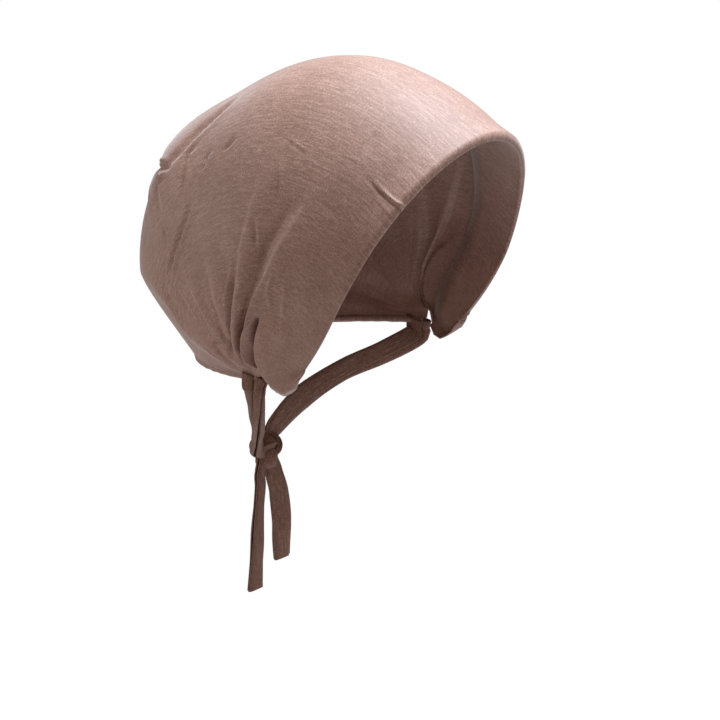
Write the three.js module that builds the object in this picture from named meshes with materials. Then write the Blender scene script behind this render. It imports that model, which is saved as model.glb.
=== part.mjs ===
// A tie-back underscarf cap in stretch jersey. One crown covers the head and has a lobe over each ear.
// Behind each lobe the cloth is gathered to a point, a narrow casing follows the nape from gather to
// gather, and a tie leaves each gather and meets the other in a knot behind the neck.
//
// Millimetres, as worn: +X is the wearer's left, the face looks along -Y, +Z is up. The origin is the
// point inside the crown that bears on the top of the head. The tables below are measured from the
// head's centre, which lies HEAD.top under that point.
import * as THREE from 'three';

// Form that the cloth is stretched over: an oval in plan that draws in below its widest level
const HEAD = { halfWidth: 77.4, front: 99.1, back: 115.5, top: 100.7 };
const DRAW_IN = { side: 0.0011, back: 0.0033, power: 1.25 };
const FORM_HALVINGS = 40;
const SLOPE_STEP = 0.5;

// The cloth's wall, how much narrower a fold's inner face is, and the rolled front edge over the brow:
// how far it stands out and in, and the share of the cloth and of the half turn that it fades over
const CLOTH = 1.6;
const FOLD_INSET = 1.2;
const ROLL = { out: 0.9, in: 0.9, share: 0.034, from: 0.2, full: 0.34 };
const SEAM_GAP = 0.3;

// The crown is a fan of hoops from one side of the head over the top to the other. Each row has the
// share of the cloth in front of the hoop, the y and z of its lower end, and its lean in degrees back
// from upright, over the crown and where it leaves that end. reach is how far up the hoop, as a share
// of its half turn, the second lean gives way to the first, and power how sharply.
const HOOPS = [
  { share: 0.0, y: -10.4, z: -38.2, lean: -32.2, leave: -44.5, reach: 0.19, power: 2.0 },
  { share: 0.03, y: -7.4, z: -43.4, lean: -30, leave: -39, reach: 0.17, power: 2.0 },
  { share: 0.055, y: -2.2, z: -46.4, lean: -27, leave: -31, reach: 0.14, power: 2.0 },
  { share: 0.075, y: 2.4, z: -44.4, lean: -24, leave: -17, reach: 0.12, power: 1.7 },
  { share: 0.09, y: 4.8, z: -39.5, lean: -22, leave: 8, reach: 0.1, power: 1.5 },
  { share: 0.105, y: 6.8, z: -34.0, lean: -20, leave: 55, reach: 0.1, power: 1.5 },
  { share: 0.14, y: 7.6, z: -33.2, lean: -16, leave: 86, reach: 0.1, power: 1.5 },
  { share: 1.0, y: 7.9, z: -37.2, lean: 90, leave: 90, reach: 0.1, power: 1.5 },
];

// Folds that run up from each gather. share places the ridge on its hoop; front and back are the half
// widths of its two slopes; near and far are the distances from the gather where it is full and gone.
const FOLDS = [
  { share: 0.08, height: 2.2, front: 9, back: 4, near: 8, far: 46 },
  { share: 0.12, height: 5.6, front: 3.6, back: 3.0, near: 12, far: 80 },
  { share: 0.265, height: 6.2, front: 6.5, back: 4.6, near: 14, far: 88 },
  { share: 0.42, height: 2.4, front: 8, back: 5.5, near: 20, far: 66 },
  { share: 0.66, height: 3.6, front: 9, back: 6, near: 18, far: 64 },
  { share: 0.84, height: 1.5, front: 7, back: 7, near: 34, far: 92 },
];
// The left side's folds keep the right side's order, a little further back and lower
const LEFT_SIDE = { shift: 0.015, height: 0.85 };

// Places where the cloth is drawn flat and lies inside the oval, by depth at the middle. spread and
// round are the shares of the cloth and of the half turn over which it comes back out.
const FLATS = [
  { share: 0.1, spread: 0.15, turn: 0.5, round: 0.34, depth: 2.1 },
  { share: 0.46, spread: 0.19, turn: 0.42, round: 0.3, depth: 3.0 },
];

// Tucks at the back of the crown, where slack cloth stands proud and drops over its own edge. share is
// the hoop of the drop, rise the shares of cloth before it that lift, fall those that drop, and from
// and to are how far round the hoop the tuck runs, 0 at the right gather and 1 at the left.
const TUCKS = [
  { share: 0.6, rise: 0.16, fall: 0.03, height: 3.0, from: 0.34, to: 0.62 },
  { share: 0.66, rise: 0.06, fall: 0.03, height: 1.6, from: 0.36, to: 0.58 },
];
const TUCK_END = 0.05;

// Cells of the crown's mesh: round each half hoop, and from the front edge to the nape
const HALF_HOOP_CELLS = 19;
const HOOP_CROWDING = 1.35;
const SHARE_CELLS = [
  { upTo: 0.105, cells: 6 },
  { upTo: 0.34, cells: 14 },
  { upTo: 1.0, cells: 15 },
];

const CASING = { height: 2.4, width: 2.8, clearOfGather: 0.012, steps: 44, sides: 8 };

// The knot sits behind the neck. A tie runs from under the casing round the neck to the knot, folded
// lengthwise, and its free end hangs below. The rows of a tie are the middle of its folded strip.
const KNOT = { x: 0, y: 61, z: -94, halfWidth: 10, halfDepth: 7.5, halfHeight: 12 };
const KNOT_WRAPS = { count: 3, groove: 0.07, slant: 1.2, blunt: 0.55, levels: 12, sides: 20 };
const TIE = { width: 12.5, thickness: 4.2, groove: 0.9, steps: 22 };
const RIGHT_TIE = [
  { x: -69.4, y: 13.6, z: -42.2, out: [-1, -0.1, 0] },
  { x: -68.6, y: 14.2, z: -46.0, out: [-1, 0.0, 0] },
  { x: -59.5, y: 20.5, z: -57.0, out: [-0.85, 0.45, 0] },
  { x: -45.5, y: 31.0, z: -68.0, out: [-0.7, 0.7, 0] },
  { x: -27.0, y: 45.5, z: -80.0, out: [-0.45, 0.9, 0] },
  { x: -10.2, y: 58.4, z: -90.4, out: [-0.2, 1, 0] },
];
const LEFT_TIE = [
  { x: 69.4, y: 13.6, z: -42.2, out: [1, -0.1, 0] },
  { x: 68.5, y: 14.2, z: -46.2, out: [1, 0.0, 0] },
  { x: 56.5, y: 27.0, z: -54.0, out: [0.85, 0.45, 0] },
  { x: 40.0, y: 41.0, z: -61.0, out: [0.7, 0.7, 0] },
  { x: 22.0, y: 53.5, z: -72.0, out: [0.45, 0.9, 0] },
  { x: 8.4, y: 60.6, z: -84.6, out: [0.15, 1, 0.1] },
];
const TAIL = { width: 12.5, thickness: 3, groove: 0.7, steps: 12 };
const RIGHT_TAIL = [
  { x: -6.5, y: 60.6, z: -106.2, out: [-0.3, 1, 0] },
  { x: -6.9, y: 60.0, z: -111, out: [-0.3, 1, 0] },
  { x: -9.6, y: 59.6, z: -121, out: [-0.35, 1, 0] },
  { x: -12.0, y: 60.2, z: -141, out: [-0.15, 1, 0] },
  { x: -12.8, y: 62.5, z: -163, out: [-0.05, 1, 0] },
];
const LEFT_TAIL = [
  { x: 6.5, y: 61.6, z: -106.2, out: [0.3, 1, 0] },
  { x: 7.0, y: 61.8, z: -110, out: [0.3, 1, 0] },
  { x: 10.2, y: 62.2, z: -119, out: [0.35, 1, 0] },
  { x: 12.8, y: 63.0, z: -136, out: [0.2, 1, 0] },
  { x: 13.6, y: 64.6, z: -154, out: [0.1, 1, 0] },
];

const JERSEY = { color: 0x967d76, roughness: 0.92, metalness: 0 };
const HEM = { color: 0x8c736c, roughness: 0.94, metalness: 0 };
const TIE_CLOTH = { color: 0x856b63, roughness: 0.93, metalness: 0 };

const radians = THREE.MathUtils.degToRad;
const smooth = THREE.MathUtils.smoothstep;

// Value of a table's column at a share, on straight lines between its rows
function column(rows, share, name) {
  const above = rows.findIndex((row) => row.share >= share);
  if (above <= 0) return rows[above < 0 ? rows.length - 1 : 0][name];
  const [low, high] = [rows[above - 1], rows[above]];
  return THREE.MathUtils.mapLinear(share, low.share, high.share, low[name], high[name]);
}

// Size of a point against the head form: 1 on it, less inside
function againstForm(p) {
  const lengthwise = p.y < 0 ? HEAD.front : HEAD.back;
  const plan = (p.x / HEAD.halfWidth) ** 2 + (p.y / lengthwise) ** 2;
  if (p.z > 0) return Math.sqrt(plan + (p.z / HEAD.top) ** 2);
  const backward = p.y > 0 ? (p.y / lengthwise) ** 2 / plan : 0;
  const rate = THREE.MathUtils.lerp(DRAW_IN.side, DRAW_IN.back, backward);
  return Math.sqrt(plan) / (1 - rate * (-p.z) ** DRAW_IN.power);
}

// Point of the form met from an inner point along a direction
function meetForm(from, direction) {
  let [near, far] = [0, 2 * HEAD.back];
  for (let halving = 0; halving < FORM_HALVINGS; halving++) {
    const middle = (near + far) / 2;
    const inside = againstForm(from.clone().addScaledVector(direction, middle)) < 1;
    if (inside) near = middle;
    else far = middle;
  }
  return from.clone().addScaledVector(direction, near);
}

// Outward normal of the form at one of its points
function formNormal(p) {
  const slope = ['x', 'y', 'z'].map((axis) => {
    const [less, more] = [p.clone(), p.clone()];
    less[axis] -= SLOPE_STEP;
    more[axis] += SLOPE_STEP;
    return againstForm(more) - againstForm(less);
  });
  return new THREE.Vector3(...slope).normalize();
}

// Lean of the hoop at a share of the cloth and a share of its half turn up from the gather
function leanAt(share, up) {
  const over = column(HOOPS, share, 'lean');
  const leave = column(HOOPS, share, 'leave');
  const away = (up / column(HOOPS, share, 'reach')) ** column(HOOPS, share, 'power');
  return over + (leave - over) * Math.exp(-away);
}

// Height of a ridge with a soft top, at a distance across it
function ridge(across, front, back) {
  const reach = across < 0 ? front : back;
  return Math.abs(across) < reach ? Math.cos((Math.PI / 2) * (across / reach)) ** 2 : 0;
}

// How far the cloth stands off the form. inset narrows and lowers a fold, for its inner face.
function standOff(turn, share, fromGather, inset) {
  const up = Math.min(turn, 1 - turn);
  const left = turn > 0.5;
  let height = 0;
  for (const fold of FOLDS) {
    const at = fold.share + (left ? LEFT_SIDE.shift : 0);
    const across = radians(leanAt(share, up) - leanAt(at, up)) * fromGather;
    const full = (left ? LEFT_SIDE.height : 1) * fold.height - inset / 2;
    const along = smooth(fromGather, 0, fold.near) * (1 - smooth(fromGather, fold.near, fold.far));
    height += full * along * ridge(across, fold.front - inset, fold.back - inset);
  }
  for (const flat of FLATS) {
    const [along, over] = [share - flat.share, turn - flat.turn];
    height -= flat.depth * ridge(along, flat.spread, flat.spread) * ridge(over, flat.round, flat.round);
  }
  for (const tuck of TUCKS) {
    const before = smooth(share, tuck.share - tuck.rise, tuck.share);
    const after = 1 - smooth(share, tuck.share, tuck.share + tuck.fall);
    const start = smooth(turn, tuck.from - TUCK_END, tuck.from + TUCK_END);
    const end = 1 - smooth(turn, tuck.to - TUCK_END, tuck.to + TUCK_END);
    height += (tuck.height - inset / 2) * before * after * start * end;
  }
  return height;
}

// Outer and inner point of the crown's wall, turn 0 at the right end of a hoop and 1 at its left
function wallAt(turn, share) {
  const angle = Math.PI * turn;
  const lean = radians(leanAt(share, Math.min(turn, 1 - turn)));
  const end = new THREE.Vector3(0, column(HOOPS, share, 'y'), column(HOOPS, share, 'z'));
  const rise = Math.sin(angle);
  const way = new THREE.Vector3(-Math.cos(angle), rise * Math.sin(lean), rise * Math.cos(lean));
  const onForm = meetForm(end, way);
  const fromGather = Math.hypot(onForm.y - end.y, onForm.z - end.z);
  const normal = formNormal(onForm);
  const roll = ridge(share, ROLL.share, ROLL.share) * smooth(Math.min(turn, 1 - turn), ROLL.from, ROLL.full);
  const outer = CLOTH + standOff(turn, share, fromGather, 0) + ROLL.out * roll;
  const inner = standOff(turn, share, fromGather, FOLD_INSET) - ROLL.in * roll;
  return [outer, inner].map((off) => onForm.clone().addScaledVector(normal, off));
}

// Closed mesh from points and faces, each face a triangle or a quad seen anticlockwise from outside
function closedMesh(name, points, faces, look) {
  const geometry = new THREE.BufferGeometry();
  const numbers = points.flatMap((p) => [p.x, p.y, p.z]);
  geometry.setAttribute('position', new THREE.Float32BufferAttribute(numbers, 3));
  geometry.setIndex(faces.flatMap(([a, b, c, d]) => (d === undefined ? [a, b, c] : [a, b, c, a, c, d])));
  geometry.computeVertexNormals();
  const mesh = new THREE.Mesh(geometry, new THREE.MeshStandardMaterial(look));
  mesh.name = name;
  return mesh;
}

// Solid through rings of equal count, anticlockwise about their way, with flat ends
function loft(name, rings, look) {
  const sides = rings[0].length;
  const faces = [];
  for (let ring = 0; ring < rings.length - 1; ring++) {
    for (let side = 0; side < sides; side++) {
      const next = (side + 1) % sides;
      const base = ring * sides;
      faces.push([base + side, base + next, base + sides + next, base + sides + side]);
    }
  }
  const last = (rings.length - 1) * sides;
  for (let side = 1; side < sides - 1; side++) {
    faces.push([0, side + 1, side], [last, last + side, last + side + 1]);
  }
  return closedMesh(name, rings.flat(), faces, look);
}

function turnsOfHoop() {
  const half = Array.from(
    { length: HALF_HOOP_CELLS + 1 },
    (_, cell) => 0.5 * (cell / HALF_HOOP_CELLS) ** HOOP_CROWDING,
  );
  return [...half, ...half.slice(0, -1).reverse().map((turn) => 1 - turn)];
}

function sharesOfCloth() {
  const shares = [0];
  for (const { upTo, cells } of SHARE_CELLS) {
    const from = shares.at(-1);
    for (let cell = 1; cell <= cells; cell++) shares.push(from + ((upTo - from) * cell) / cells);
  }
  return shares;
}

function makeCrown() {
  const [turns, shares] = [turnsOfHoop(), sharesOfCloth()];
  const walls = shares.flatMap((share) => turns.map((turn) => wallAt(turn, share)));
  const points = [...walls.map((wall) => wall[0]), ...walls.map((wall) => wall[1])];
  const outer = (row, col) => row * turns.length + col;
  const inner = (row, col) => walls.length + outer(row, col);
  const [lastRow, lastCol] = [shares.length - 1, turns.length - 1];
  const faces = [];
  for (let row = 0; row < lastRow; row++) {
    for (let col = 0; col < lastCol; col++) {
      faces.push([outer(row, col), outer(row, col + 1), outer(row + 1, col + 1), outer(row + 1, col)]);
      faces.push([inner(row, col), inner(row + 1, col), inner(row + 1, col + 1), inner(row, col + 1)]);
    }
    faces.push([outer(row, 0), outer(row + 1, 0), inner(row + 1, 0), inner(row, 0)]);
    faces.push([inner(row, lastCol), inner(row + 1, lastCol), outer(row + 1, lastCol), outer(row, lastCol)]);
  }
  for (let col = 0; col < lastCol; col++) {
    faces.push([inner(0, col), inner(0, col + 1), outer(0, col + 1), outer(0, col)]);
    faces.push([outer(lastRow, col), outer(lastRow, col + 1), inner(lastRow, col + 1), inner(lastRow, col)]);
  }
  return closedMesh('crown', points, faces, JERSEY);
}

// A narrow rolled hem just under the crown's nape edge
function makeNapeCasing() {
  const drop = SEAM_GAP + CASING.height / 2;
  const middleAt = (turn) => {
    const [outer, inner] = wallAt(turn, 1);
    const lowest = Math.min(outer.z, inner.z);
    return outer.add(inner).divideScalar(2).setZ(lowest - drop);
  };
  const rings = [];
  for (let step = 0; step <= CASING.steps; step++) {
    const turn = THREE.MathUtils.lerp(CASING.clearOfGather, 1 - CASING.clearOfGather, step / CASING.steps);
    const middle = middleAt(turn);
    const out = formNormal(middle).setZ(0).normalize();
    const ring = Array.from({ length: CASING.sides }, (_, side) => {
      const angle = (2 * Math.PI * side) / CASING.sides;
      const point = middle.clone().addScaledVector(out, (CASING.width / 2) * Math.cos(angle));
      return point.setZ(middle.z + (CASING.height / 2) * Math.sin(angle));
    });
    rings.push(ring);
  }
  return loft('nape_casing', rings, HEM);
}

// A strip folded lengthwise: a flat band with a groove along its outer face
function makeStrip(name, rows, size, look) {
  const path = new THREE.CatmullRomCurve3(rows.map((row) => new THREE.Vector3(row.x, row.y, row.z)));
  const [halfWidth, halfThick] = [size.width / 2, size.thickness / 2];
  const section = [
    [-halfWidth, -0.5 * halfThick],
    [-0.8 * halfWidth, -halfThick],
    [0.8 * halfWidth, -halfThick],
    [halfWidth, -0.5 * halfThick],
    [halfWidth, 0.5 * halfThick],
    [0.6 * halfWidth, halfThick],
    [0.1 * halfWidth, halfThick - size.groove],
    [-0.4 * halfWidth, halfThick],
    [-0.85 * halfWidth, 0.8 * halfThick],
  ];
  const rings = [];
  for (let step = 0; step <= size.steps; step++) {
    const along = step / size.steps;
    const middle = path.getPoint(along);
    const way = path.getTangent(along);
    const place = along * (rows.length - 1);
    const row = Math.min(Math.floor(place), rows.length - 2);
    const [outHere, outNext] = [rows[row], rows[row + 1]].map(({ out }) => new THREE.Vector3(...out));
    const out = outHere.lerp(outNext, place - row);
    out.addScaledVector(way, -out.dot(way)).normalize();
    const across = new THREE.Vector3().crossVectors(out, way);
    rings.push(
      section.map(([side, off]) => middle.clone().addScaledVector(across, side).addScaledVector(out, off)),
    );
  }
  return loft(name, rings, look);
}

// A rounded knot with a few turns of cloth slanting round it
function makeKnot() {
  const { levels, sides, slant } = KNOT_WRAPS;
  const rings = [];
  for (let level = 1; level < levels; level++) {
    const tilt = (Math.PI * level) / levels;
    rings.push(
      Array.from({ length: sides }, (_, side) => {
        const angle = (2 * Math.PI * side) / sides;
        const phase = 2 * KNOT_WRAPS.count * tilt + slant * Math.sin(angle);
        const reach = Math.sin(tilt) ** KNOT_WRAPS.blunt * (1 - KNOT_WRAPS.groove * (1 + Math.cos(phase)));
        return new THREE.Vector3(
          KNOT.x + KNOT.halfWidth * reach * Math.cos(angle),
          KNOT.y + KNOT.halfDepth * reach * Math.sin(angle),
          KNOT.z - KNOT.halfHeight * Math.cos(tilt),
        );
      }),
    );
  }
  return loft('knot', rings, TIE_CLOTH);
}

const cap = new THREE.Group();
cap.position.z = -HEAD.top;
cap.add(
  makeCrown(),
  makeNapeCasing(),
  makeStrip('right_tie', RIGHT_TIE, TIE, TIE_CLOTH),
  makeStrip('left_tie', LEFT_TIE, TIE, TIE_CLOTH),
  makeKnot(),
  makeStrip('right_tie_end', RIGHT_TAIL, TAIL, TIE_CLOTH),
  makeStrip('left_tie_end', LEFT_TAIL, TAIL, TIE_CLOTH),
);

export default cap;
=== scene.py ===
"""Tie-back underscarf cap: the jersey crown, nape casing, folded ties and knot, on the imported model."""
import math

import bmesh
import bpy
import numpy as np
from bpy.props import FloatProperty, FloatVectorProperty, IntProperty, PointerProperty
from mathutils import Matrix, Vector


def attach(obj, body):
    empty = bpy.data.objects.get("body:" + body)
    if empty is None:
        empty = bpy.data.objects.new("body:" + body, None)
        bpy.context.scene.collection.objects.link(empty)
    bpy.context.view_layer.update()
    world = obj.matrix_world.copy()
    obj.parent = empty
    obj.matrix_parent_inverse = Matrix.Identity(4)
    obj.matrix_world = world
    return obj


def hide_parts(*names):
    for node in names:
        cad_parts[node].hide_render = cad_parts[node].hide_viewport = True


bl_info = {
    "name": "Tie-back underscarf cap",
    "version": (1, 0, 0),
    "blender": (4, 5, 0),
    "location": "View3D > Sidebar > Cap",
    "description": "Makes a stretch-jersey cap that is gathered at the sides and tied at the back",
    "category": "Object",
}

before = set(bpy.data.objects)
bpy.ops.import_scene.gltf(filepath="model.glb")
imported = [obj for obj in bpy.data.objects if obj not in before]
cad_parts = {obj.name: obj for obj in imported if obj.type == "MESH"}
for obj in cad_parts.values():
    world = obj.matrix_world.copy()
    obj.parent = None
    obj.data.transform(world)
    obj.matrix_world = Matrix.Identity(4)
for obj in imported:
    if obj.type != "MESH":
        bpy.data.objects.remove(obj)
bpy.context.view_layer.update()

MM = 0.001
TINY = 1e-9

# The oval form that the cloth is stretched over, the hoops of cloth on it and their folds are the part's
# own, in millimetres from the form's centre. The origin is on the inner top of the crown, and the crown's
# cloth stands CLOTH off the form.
FORM = {"half_width": 77.4, "front": 99.1, "back": 115.5, "top": 100.7}
DRAW_IN = {"side": 0.0011, "back": 0.0033, "power": 1.25, "least": 0.05}
ORIGIN = np.array([0.0, 0.0, FORM["top"]])
CLOTH = 1.6

# Hoops of cloth from gather to gather, each at a share of the way from the front edge to the nape: where
# the gather is, how far the hoop leans back over the form and where it leaves the gather, in degrees, and
# how soon the one lean gives way to the other
HOOPS = (
    {"share": 0.0, "y": -10.4, "z": -38.2, "lean": -32.2, "leave": -44.5, "reach": 0.19, "power": 2.0},
    {"share": 0.03, "y": -7.4, "z": -43.4, "lean": -30, "leave": -39, "reach": 0.17, "power": 2.0},
    {"share": 0.055, "y": -2.2, "z": -46.4, "lean": -27, "leave": -31, "reach": 0.14, "power": 2.0},
    {"share": 0.075, "y": 2.4, "z": -44.4, "lean": -24, "leave": -17, "reach": 0.12, "power": 1.7},
    {"share": 0.09, "y": 4.8, "z": -39.5, "lean": -22, "leave": 8, "reach": 0.1, "power": 1.5},
    {"share": 0.105, "y": 6.8, "z": -34.0, "lean": -20, "leave": 55, "reach": 0.1, "power": 1.5},
    {"share": 0.14, "y": 7.6, "z": -33.2, "lean": -16, "leave": 86, "reach": 0.1, "power": 1.5},
    {"share": 1.0, "y": 7.9, "z": -37.2, "lean": 90, "leave": 90, "reach": 0.1, "power": 1.5},
)
# What a share of 1 is taken as, the width of the crown's cut piece laid flat, and the step of share that
# shows the way to the nape
MM_PER_SHARE = 190.0
SLIDE_STEP = 0.002
# The cloth's own map fans out from the line between the gathers
FAN = {"y": 5.0, "z": -44.0, "radius": 100.0}

# Folds that run up from each gather. edge is the line of (turn, share) that the foot of a fold's steep
# back slope follows, front and back the widths of its slopes close to the gather and far from it, near
# and far where it is highest and where it has died out, over how far its ridge leans towards the nape,
# and hem the turn by which it has risen from the hem
FOLDS = (
    {"edge": ((0.0, 0.09), (0.021, 0.0935), (0.05, 0.0955), (0.082, 0.0957), (0.111, 0.096), (0.16, 0.1)),
     "height": 3.0, "front": (8, 16), "back": (1.5, 2.6), "near": 5, "far": 64, "over": 1.2, "hem": 0.01},
    {"edge": ((0.0, 0.116), (0.03, 0.114), (0.045, 0.1105), (0.06, 0.1072), (0.075, 0.1048), (0.096, 0.103),
              (0.128, 0.105), (0.171, 0.115), (0.214, 0.13), (0.254, 0.124), (0.3, 0.12)),
     "height": 4.2, "front": (2.0, 13), "back": (0.9, 3.8), "near": 8, "far": 106, "over": 0.8, "hem": 0.03},
    {"edge": ((0.0, 0.62), (0.04, 0.5), (0.056, 0.36), (0.067, 0.275), (0.082, 0.215), (0.106, 0.203),
              (0.129, 0.215), (0.173, 0.26), (0.209, 0.279), (0.261, 0.272), (0.3, 0.262)),
     "height": 4.0, "front": (0.9, 13), "back": (5.0, 3.6), "near": 12, "far": 110, "over": 0.5, "hem": 0.08},
    {"edge": ((0.0, 0.7), (0.047, 0.64), (0.088, 0.675), (0.133, 0.645), (0.18, 0.62)),
     "height": 2.6, "front": (4, 9), "back": (3.6, 3.6), "near": 16, "far": 80, "over": 0.9, "hem": 0.06},
    {"edge": ((0.0, 0.9), (0.186, 0.91), (0.221, 0.9), (0.259, 0.83), (0.3, 0.82)),
     "height": 2.3, "front": (9, 9), "back": (6, 6), "near": 30, "far": 110, "over": 0.5, "hem": 0.05},
    {"edge": ((0.0, 0.42), (0.12, 0.45), (0.25, 0.5)),
     "height": 1.8, "front": (9, 9), "back": (6, 6), "near": 40, "far": 96, "over": 0.4, "hem": 0.05},
)
# How much nearer the nape and how high the folds are on the left side
LEFT_SIDE = {"shift": 0.015, "height": 0.85}
# How far from the gather a fold starts to widen, has its full width and has its round top, the power
# that shapes its top close to the gather, and what is added to that power further out
FOLD_SPREAD = {"widens": 22, "wide": 62, "round": 60, "broad_power": 0.6, "added_power": 1.1}
# From which share the folds die out towards the nape, and how much of them is gone there
NAPE_CALM = {"from": 0.86, "share": 0.85}

# Where the crown lies flat at the top, and the tucks at its back
FLATS = (
    {"share": 0.1, "spread": 0.15, "turn": 0.5, "round": 0.34, "depth": 2.1},
    {"share": 0.46, "spread": 0.19, "turn": 0.42, "round": 0.3, "depth": 3.0},
)
TUCKS = (
    {"share": 0.6, "rise": 0.16, "fall": 0.022, "height": 3.0, "from": 0.34, "to": 0.62},
    {"share": 0.66, "rise": 0.06, "fall": 0.03, "height": 1.6, "from": 0.36, "to": 0.58},
)
TUCK_END = 0.05

# Small pleats that radiate from the gathers between the main folds
PLEATS = {
    "count": 30, "seed": 11, "edge": (0.15, 0.98), "height": (0.3, 1.0), "half": (1.4, 3.0),
    "near": (14, 24), "far": (30, 66), "front": (1.2, 1.6), "back": 0.9, "over": 0.3, "hem": 0.04,
}

# Creases in the cloth: the (turn, share) points they pass, how deep and wide they are, and the bank of
# cloth pushed up beside them, on the side that bank's sign gives. They fade out at the ends named.
CREASES = (
    {"name": "behind the lobe",
     "at": ((0.122, 0.0978), (0.112, 0.0973), (0.082, 0.097), (0.05, 0.097), (0.021, 0.0955), (0.008, 0.094)),
     "depth": 7.0, "half": 0.7, "bank": 0.0, "fades": "start"},
    {"name": "under the first fold",
     "at": ((0.14, 0.111), (0.103, 0.1076), (0.082, 0.1088), (0.07, 0.1115), (0.055, 0.117), (0.042, 0.127),
            (0.026, 0.155)),
     "depth": 6.5, "half": 1.0, "bank": 0.0, "fades": "both"},
    {"name": "foot of the first fold",
     "at": ((0.3, 0.135), (0.254, 0.138), (0.214, 0.143), (0.171, 0.126), (0.12, 0.112)),
     "depth": 1.3, "half": 2.6, "bank": 0.0, "fades": "both"},
    {"name": "under the second fold",
     "at": ((0.209, 0.29), (0.173, 0.27), (0.129, 0.228), (0.106, 0.212), (0.084, 0.228), (0.068, 0.3),
            (0.045, 0.42)),
     "depth": 1.6, "half": 1.6, "bank": 0.0, "fades": "both"},
    {"name": "under the third fold", "at": ((0.133, 0.66), (0.088, 0.69), (0.047, 0.66)),
     "depth": 1.0, "half": 1.6, "bank": 0.0, "fades": "both"},
    {"name": "across behind the second fold",
     "at": ((0.125, 0.69), (0.117, 0.653), (0.1, 0.52), (0.083, 0.4)),
     "depth": 1.3, "half": 1.1, "bank": 0.7, "fades": "both"},
    {"name": "across lower down", "at": ((0.095, 0.66), (0.077, 0.585), (0.062, 0.5)),
     "depth": 1.0, "half": 1.0, "bank": 0.5, "fades": "both"},
    {"name": "behind the front edge", "at": ((0.418, 0.086), (0.392, 0.089), (0.366, 0.09)),
     "depth": 0.9, "half": 0.6, "bank": -0.3, "fades": "both"},
    {"name": "short one behind the front edge", "at": ((0.467, 0.073), (0.447, 0.074)),
     "depth": 0.9, "half": 0.7, "bank": -0.2, "fades": "both"},
    {"name": "pinch in the front edge",
     "at": ((0.3565, 0.08), (0.351, 0.059), (0.347, 0.044), (0.344, 0.031), (0.341, 0.012), (0.339, -0.006)),
     "depth": 0.7, "half": 0.8, "bank": 0.75, "fades": "start"},
    {"name": "second ridge of the pinch",
     "at": ((0.343, 0.054), (0.337, 0.04), (0.332, 0.028), (0.328, 0.016)),
     "depth": -0.5, "half": 0.8, "bank": 0.0, "fades": "both"},
    {"name": "valley beside the crown's middle",
     "at": ((0.437, 0.405), (0.431, 0.436), (0.419, 0.463), (0.402, 0.504), (0.388, 0.536), (0.382, 0.568)),
     "depth": 1.9, "half": 3.2, "bank": 0.5, "fades": "start"},
    {"name": "fold under that valley",
     "at": ((0.381, 0.473), (0.378, 0.496), (0.373, 0.513), (0.355, 0.522), (0.326, 0.532), (0.303, 0.546)),
     "depth": 1.7, "half": 1.8, "bank": 0.8, "fades": "both"},
    {"name": "short wrinkle", "at": ((0.358, 0.433), (0.349, 0.452), (0.337, 0.462), (0.329, 0.467)),
     "depth": 1.2, "half": 1.3, "bank": 0.25, "fades": "both"},
    {"name": "upper wrinkle", "at": ((0.356, 0.36), (0.348, 0.379), (0.341, 0.398)),
     "depth": 1.1, "half": 1.2, "bank": 0.2, "fades": "both"},
    {"name": "long wrinkle",
     "at": ((0.312, 0.485), (0.288, 0.519), (0.269, 0.58), (0.256, 0.663), (0.251, 0.707)),
     "depth": 2.1, "half": 1.8, "bank": 1.2, "fades": "both"},
    {"name": "curved wrinkle", "at": ((0.341, 0.643), (0.314, 0.627), (0.296, 0.628), (0.28, 0.645)),
     "depth": 1.5, "half": 1.3, "bank": 0.8, "fades": "both"},
    {"name": "pocket under the upper tuck",
     "at": ((0.362, 0.55), (0.392, 0.595), (0.43, 0.645), (0.47, 0.66)),
     "depth": 3.0, "half": 1.5, "bank": -1.0, "fades": "both"},
    {"name": "pocket under the lower tuck", "at": ((0.362, 0.566), (0.37, 0.6), (0.378, 0.64)),
     "depth": 2.4, "half": 1.2, "bank": -0.7, "fades": "both"},
    {"name": "back wrinkle", "at": ((0.277, 0.638), (0.262, 0.74), (0.22, 0.78)),
     "depth": 1.0, "half": 1.3, "bank": 0.6, "fades": "both"},
    {"name": "lower back wrinkle", "at": ((0.236, 0.684), (0.2, 0.7), (0.17, 0.76)),
     "depth": 0.6, "half": 1.2, "bank": 0.4, "fades": "both"},
    {"name": "pressed line", "at": ((0.332, 0.236), (0.295, 0.214), (0.268, 0.194)),
     "depth": 0.4, "half": 0.8, "bank": 0.7, "fades": "both"},
    {"name": "second pressed line", "at": ((0.33, 0.226), (0.296, 0.202), (0.262, 0.17)),
     "depth": 0.35, "half": 0.8, "bank": 0.5, "fades": "both"},
    {"name": "line between the folds", "at": ((0.25, 0.238), (0.228, 0.212), (0.205, 0.184)),
     "depth": 1.0, "half": 1.2, "bank": 0.4, "fades": "both"},
    {"name": "third pressed line", "at": ((0.348, 0.242), (0.33, 0.147)),
     "depth": 0.2, "half": 0.6, "bank": 0.2, "fades": "both"},
    {"name": "line down the lobe", "at": ((0.2, 0.085), (0.168, 0.08), (0.13, 0.072), (0.1, 0.075)),
     "depth": -1.0, "half": 1.1, "bank": 0.0, "fades": "both"},
    {"name": "second line down the lobe", "at": ((0.192, 0.1), (0.168, 0.096), (0.14, 0.088)),
     "depth": -0.8, "half": 0.9, "bank": 0.0, "fades": "both"},
)
# How much of a crease its fading ends take, how far out its bank stands and how wide it is, in half
# widths, and the steps in which a crease follows the form between its points
CREASE_FADE = {"start": 0.35, "both": 0.4}
BANK = {"out": 1.6, "wide": 0.9}
CREASE_STEPS = 5

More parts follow.
